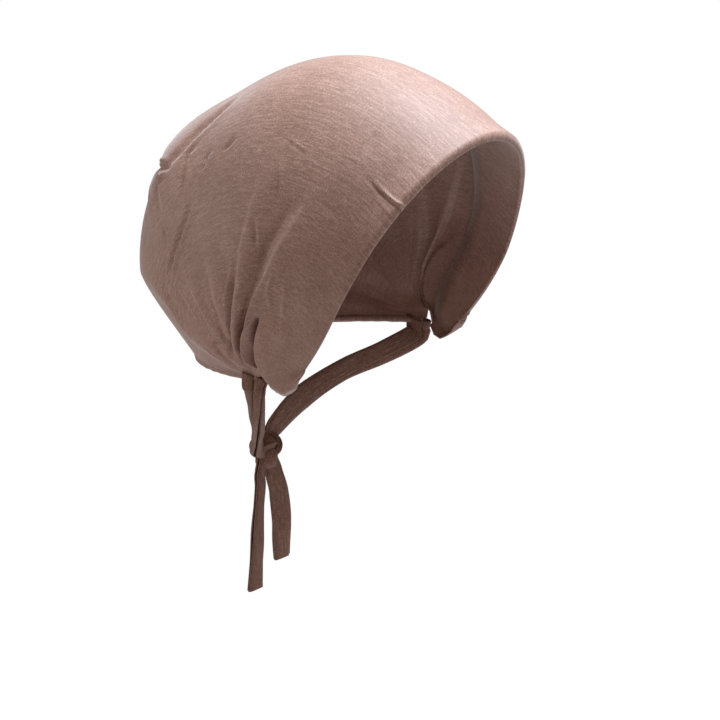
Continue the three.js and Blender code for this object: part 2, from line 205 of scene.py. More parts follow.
# The front edge is rolled under: the roll's radius in front and at the lobes, how long it is for its
# radius, and how far the cloth behind it stands out and over which shares and turns
ROLL = {
    "front": 2.1, "side": 0.9, "long": 1.9, "out": 2.0, "crest": 0.02, "behind": 0.036,
    "from": 0.2, "full": 0.36,
}
# The turned-in edge's width and rows, with the rows of the roll, and the curl down to the gathers
TURNED_IN = {"width": 15.0, "rows": 5, "arc_rows": 8}
EDGE_CURL = 1.4

# Cells of the crown's mesh up to each share, and round each hoop, crowded where the cloth is creased most
SHARE_CELLS = ((0.03, 8), (0.07, 8), (0.088, 10), (0.118, 42), (0.15, 12), (0.34, 34), (0.7, 50), (1.0, 18))
HOOP_CELLS = 248
HOOP_CROWDING = {
    "left": -0.45, "left_turns": (0.5, 0.56), "left_ends": (0.1, 0.2), "gather": 0.8, "gather_width": 0.1,
    "pinch": 2.0, "pinch_at": 0.345, "pinch_width": 0.011,
}
# Samples for the crowding, the step that shows the form's slope, and the halvings that find its surface
HOOP_SAMPLES = 4001
SLOPE_STEP = 0.5
FORM_HALVINGS = 36

# The ties' knot: its place, the size of the line that the band follows, the band's half width and half
# thickness, the creases along it, and how long its cloth is round it and along it
KNOT = {
    "at": (0, 61, -94), "line": (2.1, 2.6, 2.5), "flat": 1.1, "half_width": 4.6, "half_thick": 2.7,
    "creases": (0.12, 0.08), "round": 4.0, "long": 14, "steps": 220, "sides": 30, "weld": 1e-6,
}

# The ties and their free ends: the middle of each folded strip, the way it faces, and its width as a
# share of the strip's. Each begins and ends a little way inside what holds it.
RIGHT_TIE = (
    {"at": (-69.0, 12.6, -37.5), "out": (-1, -0.1, 0), "wide": 1.15},
    {"at": (-69.4, 13.6, -42.2), "out": (-1, -0.1, 0), "wide": 1.0},
    {"at": (-68.6, 14.2, -46.0), "out": (-1, 0.0, 0), "wide": 0.9},
    {"at": (-59.5, 20.5, -57.0), "out": (-0.9, 0.3, 0), "wide": 0.88},
    {"at": (-45.5, 31.0, -68.0), "out": (-0.8, 0.5, 0), "wide": 0.92},
    {"at": (-27.0, 45.5, -80.0), "out": (-0.6, 0.8, 0), "wide": 0.98},
    {"at": (-10.2, 58.4, -90.4), "out": (-0.3, 1, 0), "wide": 0.85},
    {"at": (-4.0, 60.5, -94.0), "out": (-0.2, 1, 0), "wide": 0.6},
)
LEFT_TIE = (
    {"at": (69.0, 12.6, -37.5), "out": (1, -0.1, 0), "wide": 1.15},
    {"at": (69.4, 13.6, -42.2), "out": (1, -0.1, 0), "wide": 1.0},
    {"at": (68.5, 14.2, -46.2), "out": (1, 0.0, 0), "wide": 0.9},
    {"at": (56.5, 27.0, -54.0), "out": (0.85, 0.45, 0), "wide": 0.9},
    {"at": (40.0, 41.0, -61.0), "out": (0.7, 0.7, 0), "wide": 0.95},
    {"at": (22.0, 53.5, -72.0), "out": (0.45, 0.9, 0), "wide": 1.12},
    {"at": (8.4, 60.6, -84.6), "out": (0.15, 1, 0.1), "wide": 1.0},
    {"at": (3.0, 61.0, -91.0), "out": (0.1, 1, 0.1), "wide": 0.6},
)
RIGHT_END = (
    {"at": (-3.0, 60.8, -97.0), "out": (-0.3, 1, 0), "wide": 0.55},
    {"at": (-6.3, 60.6, -106.2), "out": (-0.3, 1, 0), "wide": 0.85},
    {"at": (-7.2, 60.0, -111), "out": (-0.3, 1, 0), "wide": 0.95},
    {"at": (-9.8, 59.6, -121), "out": (-0.35, 1, 0), "wide": 1.0},
    {"at": (-12.0, 60.2, -141), "out": (-0.15, 1, 0), "wide": 1.03},
    {"at": (-12.8, 62.5, -163), "out": (-0.05, 1, 0), "wide": 1.05},
)
LEFT_END = (
    {"at": (3.0, 61.4, -97.0), "out": (0.3, 1, 0), "wide": 0.55},
    {"at": (6.3, 61.6, -106.2), "out": (0.3, 1, 0), "wide": 0.85},
    {"at": (7.3, 61.8, -110), "out": (0.3, 1, 0), "wide": 0.95},
    {"at": (10.4, 62.2, -119), "out": (0.35, 1, 0), "wide": 1.0},
    {"at": (12.8, 63.0, -136), "out": (0.2, 1, 0), "wide": 1.03},
    {"at": (13.6, 64.6, -154), "out": (0.1, 1, 0), "wide": 1.05},
)
# A strip of cloth folded lengthwise in three, in half widths across and half thicknesses out
FOLDED_SECTION = (
    (-0.55, -0.95), (0.2, -1.0), (0.85, -0.85), (1.0, -0.3), (0.7, 0.0), (0.0, -0.25), (-0.7, -0.1),
    (-1.0, 0.3), (-0.88, 0.95), (-0.5, 1.15), (-0.22, 0.9), (-0.08, 0.1), (0.1, 0.85), (0.4, 1.15),
    (0.75, 0.95), (0.85, 0.5),
)
# How a strip wanders along its length, as (size, waves) pairs, its mesh, its wall as a share of the
# cloth's, and how much of the section's length its cloth has
STRIP = {
    "bend": ((0.12, 7), (0.07, 17)), "width": (0.05, 9), "thick": (0.15, 11), "bow": 0.8,
    "steps": 90, "across": 56, "wall": 0.8, "cut": 0.82,
}
# Steps of a smooth line between its points, and where a wave may start
SPLINE_STEPS = 24
PHASES = (0, 6.28)

# The rolled nape hem: its ends, its height, its radius, and the ripples along it
CASING = {
    "ends": (0.008, 0.992), "share": 0.998, "out": 0.15, "z": -38.6, "radius": 1.3, "flat": 0.5,
    "wall": 0.5, "ripples": 6, "ripple": (0.02, 0.07), "waves": (8, 34), "seed": 5, "round": 1.8,
    "steps": 260, "sides": 20,
}

# The knit's patterns: how fine each is, how drawn out along the cloth, and its noise
KNIT = {
    "grain": {"scale": 1800.0, "along": 0.75, "detail": 2.0, "roughness": 0.6},
    "streak": {"scale": 1400.0, "along": 0.2, "detail": 1.0},
    "slub": {"scale": 850.0, "along": 0.07, "detail": 1.0},
    "cloud": {"scale": 48.0, "along": 0.6, "detail": 3.0},
}
CLOUD_STRENGTH = 0.5
# Each pattern's share in the knit's relief, with the relief's strength and depth
RELIEF = {"grain": 0.7, "streak": 0.7, "slub": 0.9, "strength": 0.4, "depth": 0.0002}
# How rough the fibres are, how much more where the grain is high, and their sheen
FIBRE = {"rough": 0.57, "grain": 0.2, "sheen_rough": 0.34, "sheen_tint": (1.0, 0.97, 0.96, 1)}

# The picture's size and sensor, how far left of its middle and above it the form's centre is shown, in
# pixels, and where the lights point
PICTURE = {"pixels": 720, "sensor": 36.0, "left": 1.3, "above": 89.3}
LIT_POINT = (0, 0, -0.09)
# Width, place and colour of the lights, the tint of the surround's light, and the floor
KEY_LIGHT = {"size": 0.9, "at": (0.55, -0.38, 1.18), "colour": (0.88, 1.0, 1.11)}
RIM_LIGHT = {"size": 0.7, "at": (-0.8, 1.25, 0.25), "colour": (0.97, 0.98, 1.0)}
SURROUND_TINT = (1, 0.97, 0.94, 1)
FLOOR = {"segments": 96, "tone": (0.6, 0.6, 0.6, 1), "rough": 0.9}


class CapSizes(bpy.types.PropertyGroup):
    """Sizes and cloth of the cap"""

    grain: FloatProperty(name="Grain", description="Strength of the knit's grain", default=1.5, min=0)
    streaks: FloatProperty(name="Streaks", description="Strength of the short streaks", default=0.8, min=0)
    slubs: FloatProperty(name="Slubs", description="Strength of the long slubs", default=0.55, min=0)
    sheen: FloatProperty(name="Sheen", description="Pale sheen of the fibres", default=0.35, min=0)
    cloth_thickness: FloatProperty(
        name="Cloth thickness", description="Thickness of the jersey",
        default=0.7 * MM, min=0.0003, unit="LENGTH",
    )
    casing_width: FloatProperty(
        name="Casing width", description="Flat width of the nape casing's strip",
        default=11.0 * MM, unit="LENGTH",
    )
    tie_width: FloatProperty(
        name="Tie width", description="Width of a folded tie", default=12.0 * MM, unit="LENGTH"
    )
    end_width: FloatProperty(
        name="Tie end width", description="Width of a free end", default=12.2 * MM, unit="LENGTH"
    )
    pleats: IntProperty(
        name="Pleats", description="Small pleats on each side", default=PLEATS["count"], min=0
    )
    jersey: FloatVectorProperty(
        name="Jersey", description="Colour of the yarn", subtype="COLOR",
        default=(0.285, 0.141, 0.098), size=3,
    )
    jersey_light: FloatVectorProperty(
        name="Light fibre", description="Colour of the pale fibres", subtype="COLOR",
        default=(0.44, 0.27, 0.215), size=3,
    )
    jersey_dark: FloatVectorProperty(
        name="Dark fibre", description="Colour of the dark fibres", subtype="COLOR",
        default=(0.165, 0.074, 0.05), size=3,
    )


class StageSizes(bpy.types.PropertyGroup):
    """Camera, light and floor"""

    camera_distance: FloatProperty(
        name="Camera distance", description="From the lens to the form's centre",
        default=1.3, unit="LENGTH",
    )
    azimuth: FloatProperty(
        name="Azimuth", description="Round the cap from its front",
        default=math.radians(-55.27), subtype="ANGLE",
    )
    elevation: FloatProperty(
        name="Elevation", description="Above the horizon", default=math.radians(10.71), subtype="ANGLE"
    )
    roll: FloatProperty(
        name="Roll", description="About the line of sight", default=math.radians(-2.65), subtype="ANGLE"
    )
    lens: FloatProperty(name="Lens", description="Focal length in millimetres", default=136.5)
    floor_height: FloatProperty(
        name="Floor height", description="Under the held-up cap", default=-0.5, unit="LENGTH"
    )
    floor_radius: FloatProperty(
        name="Floor radius", description="Of the round floor", default=0.5, unit="LENGTH"
    )
    key_power: FloatProperty(name="Key light", description="Watts", default=55.0)
    rim_power: FloatProperty(name="Rim light", description="Watts", default=6.0)
    world_strength: FloatProperty(name="Surround", description="Light of the pale studio", default=0.39)


def column(share, name):
    """Value of a column of HOOPS at shares of the cloth, on straight lines between its rows."""
    return np.interp(share, [row["share"] for row in HOOPS], [row[name] for row in HOOPS])


def smooth(value, low, high):
    """0 up to low, 1 from high, and a smooth rise between them."""
    step = np.clip((value - low) / (high - low), 0, 1)
    return step * step * (3 - 2 * step)


def unit(vectors):
    """The vectors at a length of 1."""
    return vectors / np.maximum(np.linalg.norm(vectors, axis=-1, keepdims=True), TINY)


def ridge(across, front, back, fullness=2):
    """Height of a ridge with a soft top, at distances across it. A low fullness makes its top broad."""
    reach = np.where(across < 0, front, back)
    slope = np.cos(np.pi / 2 * np.clip(across / reach, -1, 1))
    return np.maximum(slope, 0) ** fullness


def against_form(points):
    """Size of points against the form: 1 on it, less inside."""
    x, y, z = np.moveaxis(points, -1, 0)
    lengthwise = np.where(y < 0, FORM["front"], FORM["back"])
    plan = (x / FORM["half_width"]) ** 2 + (y / lengthwise) ** 2
    backward = np.where(y > 0, (y / lengthwise) ** 2 / np.maximum(plan, TINY), 0)
    rate = DRAW_IN["side"] + (DRAW_IN["back"] - DRAW_IN["side"]) * backward
    drawn = np.maximum(1 - rate * np.maximum(-z, 0) ** DRAW_IN["power"], DRAW_IN["least"])
    return np.where(z > 0, np.sqrt(plan + (z / FORM["top"]) ** 2), np.sqrt(plan) / drawn)


def meet_form(start, way):
    """Where lines from start, inside the form, come out of it."""
    near = np.zeros(way.shape[:-1])
    far = np.full(way.shape[:-1], 2 * FORM["back"])
    for _ in range(FORM_HALVINGS):
        middle = (near + far) / 2
        inside = against_form(start + way * middle[..., None]) < 1
        near = np.where(inside, middle, near)
        far = np.where(inside, far, middle)
    return start + way * near[..., None]


def form_normal(points):
    """The way out of the form at points."""
    slopes = [
        against_form(points + SLOPE_STEP * axis) - against_form(points - SLOPE_STEP * axis)
        for axis in np.eye(3)
    ]
    return unit(np.stack(slopes, -1))


def lean_at(share, up):
    """How far a hoop leans back at a turn up from its gather, in degrees."""
    over, leave = column(share, "lean"), column(share, "leave")
    away = (up / column(share, "reach")) ** column(share, "power")
    return over + (leave - over) * np.exp(-away)


def on_form(turn, share):
    """Points of the form on the hoops, and their distances from the gather."""
    lean = np.radians(lean_at(share, np.minimum(turn, 1 - turn)))
    rise = np.sin(np.pi * turn)
    start = np.stack([0 * turn, column(share, "y"), column(share, "z")], -1)
    way = np.stack([-np.cos(np.pi * turn), rise * np.sin(lean), rise * np.cos(lean)], -1)
    points = meet_form(start, way)
    return points, np.linalg.norm((points - start)[..., 1:], axis=-1)


def pleat_rows(count):
    """Small folds placed at random between the gathers' main ones, the same each run."""
    draw = np.random.default_rng(PLEATS["seed"])
    rows = []
    for _ in range(count):
        half = draw.uniform(*PLEATS["half"])
        rows.append(
            {
                "edge": ((0.0, draw.uniform(*PLEATS["edge"])),),
                "height": draw.uniform(*PLEATS["height"]),
                "front": [half * wide for wide in PLEATS["front"]],
                "back": (half * PLEATS["back"], half * PLEATS["back"]),
                "near": draw.uniform(*PLEATS["near"]),
                "far": draw.uniform(*PLEATS["far"]),
                "over": PLEATS["over"],
                "hem": PLEATS["hem"],
            }
        )
    return rows


def folds_at(turn, share, from_gather, rows):
    """How far the cloth stands off the form, and how far it slides towards the nape."""
    up = np.minimum(turn, 1 - turn)
    left = turn > 0.5
    height, slide = 0 * turn, 0 * turn
    spread = FOLD_SPREAD
    away = smooth(from_gather, spread["widens"], spread["wide"])
    rounded = smooth(from_gather, spread["widens"], spread["round"])
    fullness = spread["broad_power"] + spread["added_power"] * rounded
    for row in rows:
        turns, shares = zip(*row["edge"])
        at = np.interp(up, turns, shares) + np.where(left, LEFT_SIDE["shift"], 0)
        front, back = (row[name][0] + (row[name][1] - row[name][0]) * away for name in ("front", "back"))
        across = np.radians(lean_at(share, up) - lean_at(at, up)) * from_gather + back
        along = smooth(from_gather, 0, row["near"]) * (1 - smooth(from_gather, row["near"], row["far"]))
        along *= smooth(up, 0, row["hem"])
        top = np.where(left, LEFT_SIDE["height"], 1) * along * ridge(across, front, back, fullness)
        slide = np.where(row["height"] * top > height, row["over"] * top, slide)
        height = np.maximum(row["height"] * top, height)
    return height, slide


def drawn_flat(turn, share):
    """The flats and tucks at the top and back of the crown."""
    height = 0 * turn
    for flat in FLATS:
        along = ridge(share - flat["share"], flat["spread"], flat["spread"])
        height -= flat["depth"] * along * ridge(turn - flat["turn"], flat["round"], flat["round"])
    for tuck in TUCKS:
        before = smooth(share, tuck["share"] - tuck["rise"], tuck["share"])
        after = 1 - smooth(share, tuck["share"], tuck["share"] + tuck["fall"])
        start = smooth(turn, tuck["from"] - TUCK_END, tuck["from"] + TUCK_END)
        end = 1 - smooth(turn, tuck["to"] - TUCK_END, tuck["to"] + TUCK_END)
        height += tuck["height"] * before * after * start * end
    return height


def creased(points, normals):
    """Height of the creases at points of the form."""
    height = np.zeros(points.shape[:-1])
    for crease in CREASES:
        knots = np.array(crease["at"])
        marks = np.linspace(0, len(knots) - 1, CREASE_STEPS * (len(knots) - 1) + 1)
        knots = np.stack([np.interp(marks, range(len(knots)), knots[:, axis]) for axis in range(2)], -1)
        line, _ = on_form(knots[:, 0], knots[:, 1])
        nearest = np.full(height.shape, np.inf)
        side = np.zeros(height.shape)
        along = np.zeros(height.shape)
        last = len(line) - 1
        for leg in range(last):
            way = line[leg + 1] - line[leg]
            step = np.clip((points - line[leg]) @ way / (way @ way), 0, 1)
            off = points - line[leg] - step[..., None] * way
            distance = np.linalg.norm(off, axis=-1)
            closer = distance < nearest
            across = np.einsum("...k,...k", off, np.cross(normals, unit(way)))
            side = np.where(closer, np.sign(across), side)
            along = np.where(closer, (leg + step) / last, along)
            nearest = np.where(closer, distance, nearest)
        ends = np.minimum(along, 1 if crease["fades"] == "start" else 1 - along)
        fade = smooth(ends, 0, CREASE_FADE[crease["fades"]])
        groove = np.exp(-((nearest / crease["half"]) ** 2))
        shifted = nearest * side * np.sign(crease["bank"] or 1) - BANK["out"] * crease["half"]
        bank = abs(crease["bank"]) * np.exp(-((shifted / (BANK["wide"] * crease["half"])) ** 2))
        height += fade * (bank - crease["depth"] * groove)
    return height


def cloth_point(turn, share, off):
    """Points of the cloth at a height off the form, with the folds, flats and creases."""
    points, from_gather = on_form(turn, share)
    behind, _ = on_form(turn, share + SLIDE_STEP)
    ahead, _ = on_form(turn, share - SLIDE_STEP)
    normals = form_normal(points)
    height, slide = folds_at(turn, share, from_gather, FOLDS)
    small, nudge = folds_at(turn, share, from_gather, pleat_rows(bpy.context.scene.cap.pleats))
    calm = 1 - NAPE_CALM["share"] * smooth(share, NAPE_CALM["from"], 1.0)
    height = calm * (height + small) + drawn_flat(turn, share) + creased(points, normals)
    slide = calm * (slide + nudge)
    curl = np.clip(1 - from_gather / EDGE_CURL, 0, 1)
    height -= EDGE_CURL * (1 - np.sqrt(1 - curl**2))
    return points + normals * (off + height)[..., None] + unit(behind - ahead) * slide[..., None]


def hoop_turns():
    """Turns of the mesh's columns, closer together at the gathers and at the pinch."""
    turn = np.linspace(0, 1, HOOP_SAMPLES)
    up = np.minimum(turn, 1 - turn)
    crowd = HOOP_CROWDING
    dense = 1 + crowd["gather"] * np.exp(-((up / crowd["gather_width"]) ** 2))
    dense += crowd["left"] * smooth(turn, *crowd["left_turns"]) * smooth(1 - turn, *crowd["left_ends"])
    dense += crowd["pinch"] * np.exp(-(((turn - crowd["pinch_at"]) / crowd["pinch_width"]) ** 2))
    reached = np.concatenate([[0], np.cumsum((dense[1:] + dense[:-1]) / 2)])
    return np.interp(np.linspace(0, reached[-1], HOOP_CELLS + 1), reached, turn)


def cloth_shares():
    """Shares of the mesh's rows, from the front edge to the nape."""
    shares, start = [], 0.0
    for up_to, cells in SHARE_CELLS:
        shares.append(np.linspace(start, up_to, cells, endpoint=False))
        start = up_to
    return np.concatenate([*shares, [start]])


def crown_rows(turns):
    """Share of the cloth and height off the form for each row of the crown's mesh, hem first."""
    up = np.minimum(turns, 1 - turns)
    front = smooth(up, ROLL["from"], ROLL["full"])
    radius = ROLL["side"] + (ROLL["front"] - ROLL["side"]) * front
    reach = radius * ROLL["long"]
    rows = []
    for step in np.linspace(1, 0, TURNED_IN["rows"], endpoint=False):
        rows.append((reach + step * TURNED_IN["width"], CLOTH - 2 * radius))
    for angle in np.linspace(np.pi, 0, TURNED_IN["arc_rows"], endpoint=False):
        rows.append((reach * (1 - math.sin(angle)), CLOTH - radius + radius * math.cos(angle)))
    for share in cloth_shares():
        rows.append((reach + share * (MM_PER_SHARE - reach), CLOTH + 0 * radius))
    distance = np.array([row[0] for row in rows])
    share = distance / MM_PER_SHARE
    lifted = ROLL["out"] * ridge(share - ROLL["crest"], ROLL["behind"], ROLL["behind"]) * front
    return share, np.array([row[1] for row in rows]) + lifted


def grid_mesh(name, points, cloth_uv):
    """A grid whose vertices are moved to points, in millimetres from the form's centre."""
    rows, cols = points.shape[:2]
    bm = bmesh.new()
    uv = bm.loops.layers.uv.new("cloth")
    bmesh.ops.create_grid(bm, x_segments=cols - 1, y_segments=rows - 1, size=1.0)
    bm.verts.ensure_lookup_table()
    place = {}
    for vert in bm.verts:
        col = round((vert.co.x + 1) / 2 * (cols - 1))
        row = round((vert.co.y + 1) / 2 * (rows - 1))
        place[vert.index] = (row, col)
    for vert in bm.verts:
        vert.co = (points[place[vert.index]] - ORIGIN) * MM
    for face in bm.faces:
        face.smooth = True
        for loop in face.loops:
            loop[uv].uv = cloth_uv[place[loop.vert.index]]
    mesh = bpy.data.meshes.new(name)
    bm.to_mesh(mesh)
    bm.free()
    piece = bpy.data.objects.new(name, mesh)
    bpy.context.scene.collection.objects.link(piece)
    return piece


def thicken(piece, thickness, offset=-1.0):
    """Gives a sheet its wall: inwards, or to both sides with an offset of 0."""
    wall = piece.modifiers.new("wall", "SOLIDIFY")
    wall.thickness = thickness
    wall.offset = offset
    wall.use_even_offset = False
    wall.use_rim = True


class Socket:
    """A shader socket on which Python expressions add Math nodes."""

    def __init__(self, graph, output):
        self.graph = graph
        self.output = output

    def math(self, operation, *others):
        """The result of a Math node that reads this socket first."""
        values = {index + 1: other for index, other in enumerate(others)}
        return self.graph.node("ShaderNodeMath", {"operation": operation}, {0: self, **values})

    def __add__(self, other):
        return self.math("ADD", other)

    __radd__ = __add__

    def __mul__(self, other):
        return self.math("MULTIPLY", other)

    __rmul__ = __mul__

    def __sub__(self, other):
        return self.math("SUBTRACT", other)

    def __rsub__(self, other):
        return self.graph.node("ShaderNodeMath", {"operation": "SUBTRACT"}, {0: other, 1: self})


class Graph:
    """The node tree of one material."""

    def __init__(self, name):
        self.material = bpy.data.materials.new(name)
        self.material.use_nodes = True
        self.tree = self.material.node_tree
        self.tree.nodes.clear()

    def node(self, kind, settings=None, sockets=None, output=0):
        """A node of this kind, with its settings made first and then its sockets' values and links."""
        made = self.tree.nodes.new(kind)
        for key, value in (settings or {}).items():
            setattr(made, key, value)
        for key, value in (sockets or {}).items():
            if isinstance(value, Socket):
                self.tree.links.new(value.output, made.inputs[key])
            else:
                made.inputs[key].default_value = value
        return Socket(self, made.outputs[output])

    def mix(self, factor, first, second):
        """A colour between two others."""
        def colour(value):
            return value if isinstance(value, Socket) else (*value, 1)

        return self.node(
            "ShaderNodeMix", {"data_type": "RGBA"}, {0: factor, 6: colour(first), 7: colour(second)}, output=2
        )

    def finish(self, sockets):
        """Ends the graph in a Principled shader and gives the material."""
        shader = self.node("ShaderNodeBsdfPrincipled", {}, sockets)
        out = self.tree.nodes.new("ShaderNodeOutputMaterial")
        self.tree.links.new(shader.output, out.inputs["Surface"])
        return self.material


def jersey_material(name, tint=1.0, sheen=1.0, shine=0.8):
    """Heathered stretch jersey: grain, and slubs that run along the second axis of the cloth's own map."""
    cap = bpy.context.scene.cap
    graph = Graph(name)
    cloth = graph.node("ShaderNodeUVMap", {"uv_map": "cloth"})

    def noise(scale, along, detail, roughness=0.5):
        drawn = graph.node(
            "ShaderNodeVectorMath", {"operation": "MULTIPLY"}, {0: cloth, 1: (1.0, along, 1.0)}
        )
        return graph.node(
            "ShaderNodeTexNoise", {},
            {"Vector": drawn, "Scale": scale, "Detail": detail, "Roughness": roughness},
        )

    grain, streak, slub, cloud = (noise(**KNIT[name]) for name in ("grain", "streak", "slub", "cloud"))
    tone = (grain - 0.5) * cap.grain + (streak - 0.5) * cap.streaks + (slub - 0.5) * cap.slubs
    tone = tone + (cloud - 0.5) * CLOUD_STRENGTH + 0.5
    low = (tone * 2.0).math("MINIMUM", 1.0).math("MAXIMUM", 0.0)
    high = (tone * 2.0 - 1.0).math("MINIMUM", 1.0).math("MAXIMUM", 0.0)
    yarns = (cap.jersey_dark, cap.jersey, cap.jersey_light)
    # A tint below 1 darkens all three yarn colours evenly; the ties' tint of 0.64 is painted shade.
    dark, middle, light = ([value * tint for value in yarn] for yarn in yarns)
    colour = graph.mix(high, graph.mix(low, dark, middle), light)
    height = grain * RELIEF["grain"] + streak * RELIEF["streak"] + slub * RELIEF["slub"]
    bump = graph.node(
        "ShaderNodeBump", {},
        {"Strength": RELIEF["strength"], "Distance": RELIEF["depth"], "Height": height},
    )
    return graph.finish(
        {
            "Base Color": colour,
            "Roughness": grain * FIBRE["grain"] + FIBRE["rough"],
            "Normal": bump,
            "Specular IOR Level": shine,
            "Sheen Weight": cap.sheen * sheen,
            "Sheen Roughness": FIBRE["sheen_rough"],
            "Sheen Tint": FIBRE["sheen_tint"],
        }
    )


def fan_map(turn, share):
    """The cloth's own map: across the crown, and back round the gathers, in metres at FAN's radius."""
    points, _ = on_form(turn, share)
    x, y, z = np.moveaxis(points - np.array([0, FAN["y"], FAN["z"]]), -1, 0)
    across = np.arctan2(x, np.hypot(y, z))
    back = np.arctan2(y, z)
    return np.stack([across, back], -1) * FAN["radius"] * MM


def make_crown():
    """The crown: one sheet of jersey from the turned-in front edge to the nape."""
    cap = bpy.context.scene.cap
    turns = hoop_turns()
    share, off = crown_rows(turns)
    turn = np.broadcast_to(turns, share.shape)
    points = cloth_point(turn, share, off)
    hem_rows = TURNED_IN["rows"] + TURNED_IN["arc_rows"]
    cloth_uv = fan_map(turn, share)
    cloth_uv[:hem_rows, :, 1] = 2 * cloth_uv[hem_rows, :, 1] - cloth_uv[:hem_rows, :, 1]
    crown = grid_mesh("crown_cloth", points, cloth_uv)
    crown.data.materials.append(jersey_material("crown_jersey"))
    thicken(crown, cap.cloth_thickness)
    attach(crown, "root")
    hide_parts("crown")


def spline(points, count):
    """Points at even steps of length along a smooth line through the given ones."""
    knots = np.array(points, float)
    ends = np.vstack([2 * knots[0] - knots[1], knots, 2 * knots[-1] - knots[-2]])
    fine = []
    for leg in range(len(knots) - 1):
        a, b, c, d = ends[leg : leg + 4]
        bend, twist = 2 * a - 5 * b + 4 * c - d, 3 * b - a - 3 * c + d
        for t in np.linspace(0, 1, SPLINE_STEPS, endpoint=False):
            fine.append(0.5 * (2 * b + (c - a) * t + bend * t**2 + twist * t**3))
    fine = np.array([*fine, knots[-1]])
    length = np.concatenate([[0], np.cumsum(np.linalg.norm(np.diff(fine, axis=0), axis=1))])
    even = np.linspace(0, length[-1], count)
    return np.stack([np.interp(even, length, fine[:, axis]) for axis in range(fine.shape[1])], -1), length[-1]


def make_strip(name, node, rows, width, material, thickness, seed):
    """A tie: cloth folded lengthwise in three, swept along its rows, with a little wander in its folds."""
    cap = bpy.context.scene.cap
    steps = STRIP["steps"]
    path, length = spline([row["at"] for row in rows], steps)
    knots = np.array([row["at"] for row in rows], float)
    marks = np.concatenate([[0], np.cumsum(np.linalg.norm(np.diff(knots, axis=0), axis=1))])
    even = np.linspace(0, 1, steps)
    outs = np.array([row["out"] for row in rows], float)
    out = np.stack([np.interp(even, marks / marks[-1], outs[:, axis]) for axis in range(3)], -1)
    wide = np.interp(even, marks / marks[-1], [row["wide"] for row in rows])
    way = unit(np.gradient(path, axis=0))
    out = unit(out - way * np.einsum("ij,ij->i", out, way)[:, None])
    side = np.cross(out, way)
    section, cut_width = spline(FOLDED_SECTION, STRIP["across"])
    draw = np.random.default_rng(seed)
    phase = draw.uniform(*PHASES, 4)

    def wander(kind, at):
        size, waves = kind
        return size * np.sin(even * waves + phase[at])

    wave = wander(STRIP["bend"][0], 0) + wander(STRIP["bend"][1], 1)
    half = width / 2 * wide * (1 + wander(STRIP["width"], 2))
    thick = thickness / 2 * (1 + wander(STRIP["thick"], 3))
    bow = (1 - section[:, 0] ** 2)[None] * wave[:, None]
    shape_x = (section[None, :, 0] + STRIP["bow"] * bow) * half[:, None]
    shape_y = section[None, :, 1] * thick[:, None]
    points = path[:, None] + side[:, None] * shape_x[..., None] + out[:, None] * shape_y[..., None]
    cloth_width = cut_width * width / 2 * STRIP["cut"]
    u = np.broadcast_to(np.linspace(0, cloth_width, STRIP["across"]), shape_x.shape)
    v = np.broadcast_to((even * length)[:, None], shape_x.shape)
    strip = grid_mesh(name, points, np.stack([u, v], -1) * MM)
    strip.data.materials.append(material)
    thicken(strip, cap.cloth_thickness * STRIP["wall"], 0.0)
    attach(strip, "root")
    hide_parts(node)


def make_casing(material):
    """The rolled hem under the crown's nape edge, a soft tube with gathers along it."""
    turns = np.linspace(*CASING["ends"], CASING["steps"])
    shares, off = np.full_like(turns, CASING["share"]), np.full_like(turns, CLOTH * CASING["out"])
    outer = cloth_point(turns, shares, off)
    normal = form_normal(outer)
    normal[:, 2] = 0
    normal = unit(normal)
    middle = outer.copy()
    middle[:, 2] = CASING["z"]
    even = np.linspace(0, 1, len(turns))
    draw = np.random.default_rng(CASING["seed"])
    ripple = sum(
        draw.uniform(*CASING["ripple"])
        * np.sin(2 * np.pi * draw.uniform(*CASING["waves"]) * even + draw.uniform(*PHASES))
        for _ in range(CASING["ripples"])
    )
    angle = np.linspace(0, 2 * np.pi, CASING["sides"])
    half_w, half_h = CASING["radius"] * (1 + ripple), CASING["radius"] * (1 + CASING["flat"] * ripple)
    up = np.array([0, 0, 1.0])
    points = (
        middle[:, None]
        + normal[:, None] * (half_w[:, None] * np.cos(angle))[..., None]
        + up * (half_h[:, None] * np.sin(angle))[..., None]
    )
    length = np.concatenate([[0], np.cumsum(np.linalg.norm(np.diff(middle, axis=0), axis=1))])
    u = np.broadcast_to(angle * CASING["round"], points.shape[:2])
    v = np.broadcast_to(length[:, None], points.shape[:2])
    casing = grid_mesh("nape_hem", points, np.stack([v, u], -1) * MM)
    casing.data.materials.append(material)
    thicken(casing, CASING["wall"] * MM, 0.0)
    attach(casing, "root")
    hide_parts("nape_casing")


